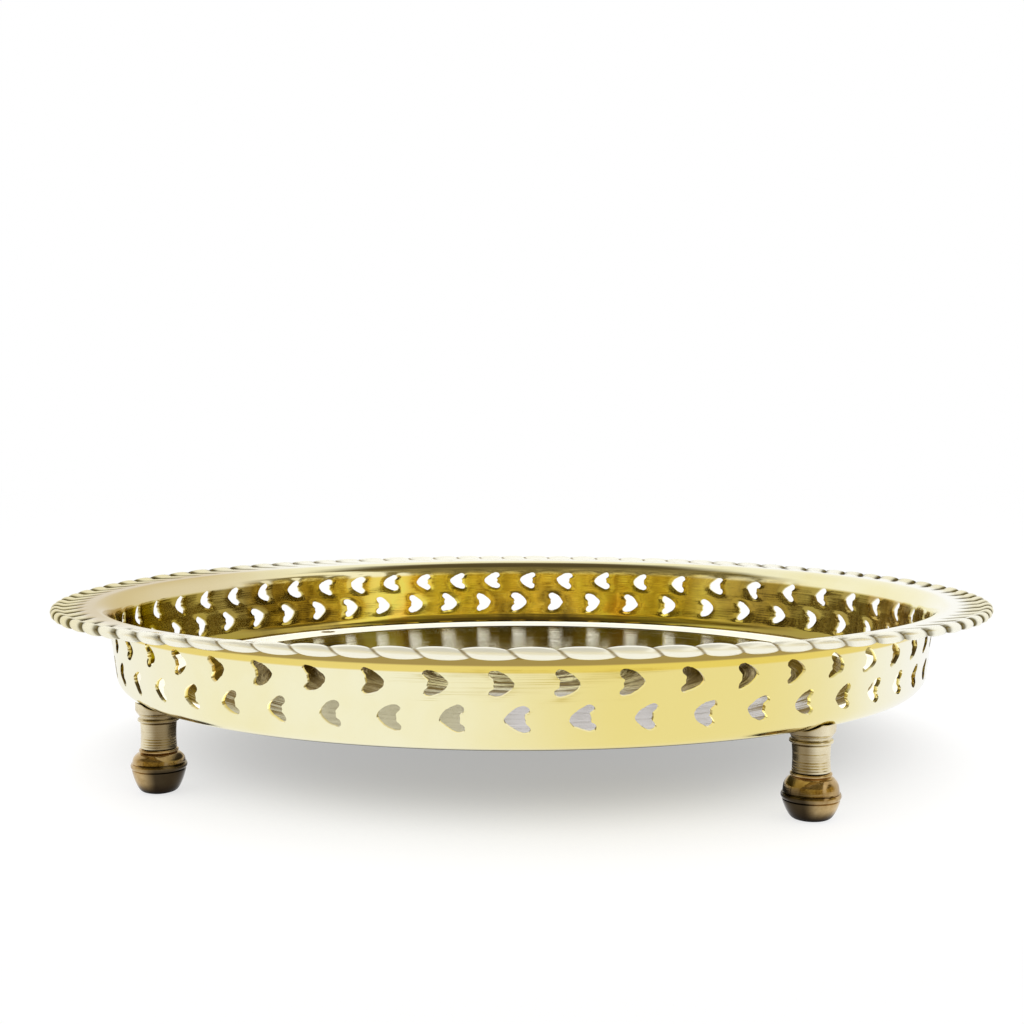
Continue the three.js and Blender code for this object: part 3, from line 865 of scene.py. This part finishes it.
def sheet_colour(graph, masks, blotches, patches):
    """The sheet's tint, laid on in layers: a tint, its strength and the masks that bound it. Most layers are
    painted reflections and painted shade.
    """
    patchy = graph.ramp(patches, (
        (0.36, BRASS_BROWN), (0.45, BRASS_DEEP), (0.55, BRASS_OLIVE), (0.64, BRASS_AMBER)))
    layers = (
        # Painted reflection: a golden cast on the outside, from the front round to the front right.
        (BRASS_GOLD, 0.85, masks.outer, masks.golden),
        # Painted reflection: the outside paler and silvery at the tray's sides.
        (BRASS_SILVERY, 1.0, masks.outer, masks.flanks),
        # Painted reflections on the inner floor where it shows through the hearts: grey near the front,
        # duller near the front left, brown at the sides of the middle, and dark stripes near the floor's
        # edge.
        (BRASS_GREY, 0.9, masks.inner, masks.floor, masks.near),
        (BRASS_DULL, 0.9, masks.inner, masks.floor, masks.near, masks.near_left),
        (BRASS_UNDER, 0.7, masks.inner, masks.floor, masks.middle_sides),
        (BRASS_STRIPE, 0.95, masks.inner, masks.stripes),
        # Painted reflection of a patchy room on the inner wall, darker brown at its sides.
        (patchy, 0.9, masks.inner, masks.wall),
        (BRASS_BROWN, 0.8, masks.inner, masks.wall, masks.inner_flanks),
        # Painted reflection: a deep golden band at the top of the outer wall in front; painted shade: a brown
        # band above it, under the rolled edge.
        (BRASS_DEEP, 0.8, masks.outer, masks.golden_band, masks.front),
        (BRASS_UNDER, 0.9, masks.outer, masks.brown_band, masks.front),
        (BRASS_SILVERY, 0.8, masks.inner, masks.flange),
        # Painted reflection: tan on the inner shoulder at the left.
        (BRASS_TAN, 0.75, masks.inner, masks.left, masks.shoulder),
        (BRASS_EDGE, 1.0, masks.edge),
        # Painted reflection: honey on the rolled edge at the left and, weaker, at the right.
        (BRASS_HONEY, 0.75, masks.edge, masks.left),
        (BRASS_HONEY, 0.45, masks.edge, masks.right),
        # Painted shade on the outside under the flange and the rolled edge.
        (BRASS_UNDER, 0.9, masks.outer, masks.under_flange),
        # Painted shade in the rope's grooves, darker still at the tray's sides.
        (BRASS_STRIPE, 0.8, graph.span(masks.groove, 0.25, 0.6)),
        (GROOVE_SHADE, 0.95, graph.span(masks.groove, 0.0, 0.22), masks.tips),
        # Painted highlight: the ring at the floor's inner corner is white, and glows below.
        (RING_HIGHLIGHT_WHITE, 1.0, masks.ring),
    )
    colour = graph.ramp(blotches, ((0.3, BRASS_PALE), (0.7, BRASS_WARM)))
    for tint, strength, *places in layers:
        colour = graph.mix(graph.product(*places, strength), colour, tint)
    return colour


def polished_brass():
    """Bright polished sheet brass, paler on the flange. Its golden look in front and inside and its paler
    sides are painted reflections; it also has painted shade under the rolled edge and in its grooves, and a
    painted highlight in its inner corner ring.
    """
    material, graph = new_graph("polished_brass")
    masks = sheet_masks(graph)
    radius, angle, height, position = polar(graph)
    across = graph.vector(graph.product(radius, LINES_PER_METRE), graph.product(angle, 1.6),
                          graph.product(height, LINES_PER_METRE))
    lines = graph.noise(across, 1.0, 4.0, 0.6)
    blotches = graph.noise(position, 28.0, 4.0, 0.6)
    patches = graph.noise(position, 17.0, 5.0, 0.62)
    colour = sheet_colour(graph, masks, blotches, patches)
    satin_edge = graph.product(masks.edge, graph.span(masks.tips, 0.0, 1.0, 0.65, 0.15))
    satin = graph.largest(graph.product(masks.ring, 0.85), satin_edge)
    polish = graph.span(blotches, 0.3, 0.7, 0.05, 0.10)
    roughness = graph.math("ADD", polish, graph.product(masks.edge, 0.12))
    strength = graph.math("ADD", 0.16, graph.product(masks.floor, 0.24))
    # Painted reflection: at the left, in the grooves, on the floor's near half and on the edge at the right,
    # reflections take the brass colour instead of white.
    tinted = graph.largest(graph.product(masks.left, 0.8), graph.product(masks.groove, 3.0),
                           graph.product(masks.near_half, 0.8), graph.product(masks.right, masks.edge, 0.7))
    edge = graph.mix(graph.span(tinted, 0.0, 1.0, smooth=False), WHITE, colour)
    # The ring at the floor's inner corner glows by itself: painted highlight.
    finish_material(graph, colour, roughness, graph.bump(lines, strength, 0.0002),
                    graph.math("SUBTRACT", 1.0, satin), graph.product(masks.ring, 0.6), edge)
    return material


# ---- the legs' and screws' finish ----

BALL_TINTS = ((0.30, (0.34, 0.22, 0.09)), (0.5, (0.50, 0.35, 0.16)), (0.72, (0.68, 0.50, 0.26)))
# Painted shade colours: on a ball's side towards the tray's middle, and where it meets the table.
BALL_SHADE = (0.02, 0.014, 0.008)
BALL_CONTACT_SHADE = (0.03, 0.02, 0.012)
TURNED_TINTS = ((0.3, (0.70, 0.60, 0.40)), (0.7, (0.88, 0.80, 0.58)))
# Painted shade colour on a column's side towards the tray's middle.
TURNED_SHADE = (0.20, 0.14, 0.06)
SCREW_TINTS = ((0.3, (0.55, 0.42, 0.17)), (0.7, (0.74, 0.60, 0.28)))


def inward_share(graph, angle, centre):
    """How far the shaded point of a leg faces the tray's axis rather than the room, from 0 to 1."""
    towards_axis = math.atan2(-centre[1], -centre[0])
    facing = graph.math("COSINE", graph.math("SUBTRACT", angle, towards_axis))
    return graph.span(facing, -1.02, -0.40)


def fine_rings(graph, angle, height, round_scale, up_scale, detail):
    """Noise drawn out into fine rings round a vertical axis."""
    drawn_out = graph.vector(graph.product(angle, round_scale), 0.0, graph.product(height, up_scale))
    return graph.noise(drawn_out, 1.0, detail)


def dark_brass_and_shade(centre, name):
    """Dark antique brass of a ball foot, with painted shade: darker towards the tray's middle, most on its
    lower part, and darker near the table.
    """
    material, graph = new_graph(f"dark_brass_and_shade_{name}")
    _, angle, height, position = polar(graph, centre)
    rings = fine_rings(graph, angle, height, 0.5, 2600.0, 3.0)
    blotches = graph.noise(position, 200.0, 4.0, 0.6)
    # Painted shade on the side that faces the tray's middle, stronger low down.
    low_down = graph.span(height, 0.0120, 0.0070, 0.15, 0.95)
    shade = graph.product(inward_share(graph, angle, centre), low_down)
    colour = graph.mix(shade, graph.ramp(blotches, BALL_TINTS), BALL_SHADE)
    # Painted shade: the lowest few millimetres darker, where the ball meets the table.
    colour = graph.mix(graph.span(height, 0.0042, 0.0004), colour, BALL_CONTACT_SHADE)
    roughness = graph.span(blotches, 0.3, 0.7, 0.10, 0.07)
    finish_material(graph, colour, roughness, graph.bump(rings, 0.14, 0.0003))
    return material


def turned_brass(centre, name):
    """Satin turned brass of a leg's column and collar, with fine rings and painted shade on the side that
    faces the tray's middle.
    """
    material, graph = new_graph(f"turned_brass_{name}")
    _, angle, height, position = polar(graph, centre)
    rings = fine_rings(graph, angle, height, 0.7, 2400.0, 4.0)
    blotches = graph.noise(position, 180.0, 4.0, 0.6)
    # Painted shade on the side that faces the tray's middle.
    shade = graph.product(inward_share(graph, angle, centre), 0.9)
    colour = graph.mix(shade, graph.ramp(blotches, TURNED_TINTS), TURNED_SHADE)
    roughness = graph.span(rings, 0.3, 0.7, 0.2, 0.32)
    finish_material(graph, colour, roughness, graph.bump(rings, 0.10, 0.0002))
    return material


def screw_brass():
    """Machined brass of the screws."""
    material, graph = new_graph("screw_brass")
    position = graph.node("ShaderNodeTexCoord").outputs["Object"]
    grain = graph.noise(position, 900.0, 4.0, 0.6)
    roughness = graph.span(grain, 0.3, 0.7, 0.24, 0.36)
    finish_material(graph, graph.ramp(grain, SCREW_TINTS), roughness, graph.bump(grain, 0.2, 0.0002))
    return material


# ---- build the pieces ----


def build_leg(leg, screw_material):
    """Ball, column, collar and screw of one leg."""
    spot = leg_centre(leg)
    turned_material = turned_brass(spot, leg)
    ball = turned_piece(f"ball_foot_{leg}", ball_profile(BELT_HEIGHTS[leg]), spot)
    place_piece(ball, dark_brass_and_shade(spot, leg), f"foot_ball_{leg}")
    column = turned_piece(f"turned_column_{leg}", column_profile(), spot)
    place_piece(column, turned_material, f"leg_column_{leg}")
    collar = turned_piece(f"turned_collar_{leg}", collar_profile(), spot)
    seat_collar(collar)
    place_piece(collar, turned_material, f"leg_collar_{leg}")
    screw = turned_piece(f"countersunk_screw_{leg}", screw_profile(), spot, SCREW_SEGMENTS)
    cut_slot(screw, spot, RANDOM.uniform(0, math.pi))
    place_piece(screw, screw_material, f"leg_screw_{leg}")


place_piece(build_body(), polished_brass(), "tray_body")
shared_screw_material = screw_brass()
for leg_name in LEG_NAMES:
    build_leg(leg_name, shared_screw_material)


# ---- floor, light and camera, in metres ----

FLOOR_HALF = 3.0
FLOOR_DIFFUSE = 0.3         # share of the table top's brightness that the tray can shade
# The painted shadow under the tray: its centre and its brightness.
SHADOW_CENTRE = (0.0, 28.0)  # millimetres
SHADOW_BRIGHTNESS = 0.43    # of the table top under the tray
TABLE_FRONT = (0.70, 0.62, 0.36)
BEHIND = ((0.0, WHITE), (0.5, WHITE), (0.84, (0.95, 0.94, 0.90)), (0.95, (0.12, 0.09, 0.05)))
ROOM_LOW = ((0.34, (0.08, 0.045, 0.008)), (0.43, (0.28, 0.18, 0.03)), (0.50, (0.60, 0.46, 0.14)),
            (0.57, (0.85, 0.66, 0.16)), (0.66, (1.0, 0.95, 0.60)))
ROOM_HIGH = ((0.32, (0.06, 0.045, 0.02)), (0.50, (0.22, 0.18, 0.08)), (0.66, (0.42, 0.34, 0.16)),
             (0.80, (0.70, 0.60, 0.36)))
CEILING = (0.09, 0.07, 0.04)
WINDOW = (1.0, 0.96, 0.86)
SECOND_BOUNCE = (0.02, 0.018, 0.01)
PATCH_STRETCH = (9.0, 9.0, 26.0)
SOFTBOX_PLACE = (0.0, 0.1, 1.1)
SOFTBOX_TARGET = (0.0, 0.0, 0.0)
SOFTBOX_SIZE = (1.6, 1.2)
SOFTBOX_POWER = 1.0
CAMERA_PLACE = (0.0, -0.4801, 0.101)
CAMERA_LENS = 49.8
CAMERA_SENSOR = 36.0
CAMERA_TURN = 0.342         # degrees round the vertical
CAMERA_PITCH = 2.557        # degrees downwards
CAMERA_ROLL = -0.149


def table_material():
    """A white table top. The viewer sees it with a painted soft shadow and a lighter painted ring round it;
    the metal mirrors a simpler painted shadow, darkened by ambient occlusion, with the table far in front
    darker and yellower.
    """
    material, graph = new_graph("studio_floor")
    radius, _, _, position = polar(graph)
    shifted, _, _, _ = polar(graph, SHADOW_CENTRE)
    _, depth, _ = graph.split(position)
    darkest = SHADOW_BRIGHTNESS - FLOOR_DIFFUSE * 0.12
    # Painted shadow under the tray, seen by the viewer.
    seen = graph.span(shifted, 0.080, 0.175, darkest, 1.0 - FLOOR_DIFFUSE)
    # A lighter painted ring round the shadow.
    lift = graph.product(graph.span(shifted, 0.100, 0.150), graph.span(shifted, 0.26, 0.16))
    seen = graph.math("ADD", seen, graph.product(lift, FLOOR_DIFFUSE * 0.40))
    contact = graph.node("ShaderNodeAmbientOcclusion", {"Distance": 0.012}, samples=4).outputs["AO"]
    # The painted shadow that the metal mirrors, darkened near the feet and the tray by ambient occlusion.
    mirrored = graph.product(graph.span(radius, 0.075, 0.118, 0.08, 0.97), graph.span(contact, 0.1, 0.8))
    # The metal mirrors the table far in front darker and yellower.
    mirrored_colour = graph.mix(graph.span(depth, -0.236, -0.266), WHITE, TABLE_FRONT)
    cloth = graph.node("ShaderNodeBsdfDiffuse", {"Color": (FLOOR_DIFFUSE,) * 3}).outputs[0]
    lit = graph.node("ShaderNodeAddShader", {0: graph.emission(WHITE, seen), 1: cloth}).outputs[0]
    copy = graph.emission(mirrored_colour, mirrored)
    camera_ray = graph.node("ShaderNodeLightPath").outputs["Is Camera Ray"]
    both = graph.node("ShaderNodeMixShader", {0: camera_ray, 1: copy, 2: lit}).outputs[0]
    output = graph.node("ShaderNodeOutputMaterial")
    graph.tree.links.new(both, output.inputs["Surface"])
    return material


def build_floor():
    """The table top, a flat square."""
    mesh = bpy.data.meshes.new("studio_floor")
    corners = [(x * FLOOR_HALF, y * FLOOR_HALF, 0) for x, y in ((-1, -1), (1, -1), (1, 1), (-1, 1))]
    mesh.from_pydata(corners, [], [(0, 1, 2, 3)])
    mesh.materials.append(table_material())
    floor = bpy.data.objects.new("studio_floor", mesh)
    bpy.context.scene.collection.objects.link(floor)


def room_colour(graph, direction, again):
    """What the metal mirrors on the viewer's side: a dim patchy room with a window at each side."""
    x, _, z = graph.split(direction)
    patches = graph.noise(graph.stretched(direction, PATCH_STRETCH), 1.0, 3.0, 0.6)
    low, high = graph.ramp(patches, ROOM_LOW), graph.ramp(patches, ROOM_HIGH)
    room = graph.mix(graph.span(z, 0.20, 0.50), low, high)
    room = graph.mix(graph.span(z, 0.74, 0.97), room, CEILING)
    right_window = graph.product(graph.span(x, 0.56, 0.62), graph.span(x, 0.82, 0.76),
                                 graph.span(z, 0.95, 0.80))
    left_window = graph.product(graph.span(x, -0.80, -0.92), 0.5)
    room = graph.mix(right_window, room, WINDOW)
    room = graph.mix(left_window, room, WINDOW)
    return graph.mix(again, room, graph.mix(0.72, room, SECOND_BOUNCE))


def build_world():
    """White to the camera and to diffuse light. The metal mirrors a bright wall and a dim room."""
    world = bpy.data.worlds.new("studio")
    world.use_nodes = True
    bpy.context.scene.world = world
    graph = Graph(world.node_tree)
    direction = graph.node("ShaderNodeTexCoord").outputs["Generated"]
    _, y, z = graph.split(direction)
    path = graph.node("ShaderNodeLightPath").outputs
    again = graph.span(path["Glossy Depth"], 1.0, 2.0, smooth=False)
    room = room_colour(graph, direction, again)
    seen = graph.mix(graph.span(y, 0.30, -0.02), graph.ramp(z, BEHIND), room)
    plain = graph.largest(path["Is Camera Ray"], path["Is Diffuse Ray"])
    studio = graph.node("ShaderNodeBackground", {"Color": seen}).outputs[0]
    white = graph.node("ShaderNodeBackground", {"Color": WHITE}).outputs[0]
    both = graph.node("ShaderNodeMixShader", {0: plain, 1: studio, 2: white}).outputs[0]
    output = graph.node("ShaderNodeOutputWorld")
    graph.tree.links.new(both, output.inputs["Surface"])


def build_softbox():
    """One soft lamp over the tray, which is not mirrored in it."""
    data = bpy.data.lights.new("overhead_softbox", "AREA")
    data.shape = "RECTANGLE"
    data.size, data.size_y = SOFTBOX_SIZE
    data.energy = SOFTBOX_POWER
    lamp = bpy.data.objects.new("overhead_softbox", data)
    lamp.location = SOFTBOX_PLACE
    lamp.rotation_mode = "QUATERNION"
    lamp.rotation_quaternion = (Vector(SOFTBOX_TARGET) - Vector(SOFTBOX_PLACE)).to_track_quat("-Z", "Y")
    lamp.visible_glossy = False
    bpy.context.scene.collection.objects.link(lamp)


def build_camera():
    """The camera, a little above the tray and almost level."""
    data = bpy.data.cameras.new("camera")
    data.lens = CAMERA_LENS
    data.sensor_width = CAMERA_SENSOR
    camera = bpy.data.objects.new("camera", data)
    turn = Matrix.Rotation(math.radians(CAMERA_TURN), 4, "Z")
    pitch = Matrix.Rotation(math.radians(90 - CAMERA_PITCH), 4, "X")
    roll = Matrix.Rotation(math.radians(CAMERA_ROLL), 4, "Z")
    camera.matrix_world = Matrix.Translation(CAMERA_PLACE) @ turn @ pitch @ roll
    bpy.context.scene.collection.objects.link(camera)
    bpy.context.scene.camera = camera


build_floor()
build_world()
build_softbox()
build_camera()
bpy.context.scene.view_settings.view_transform = "Standard"
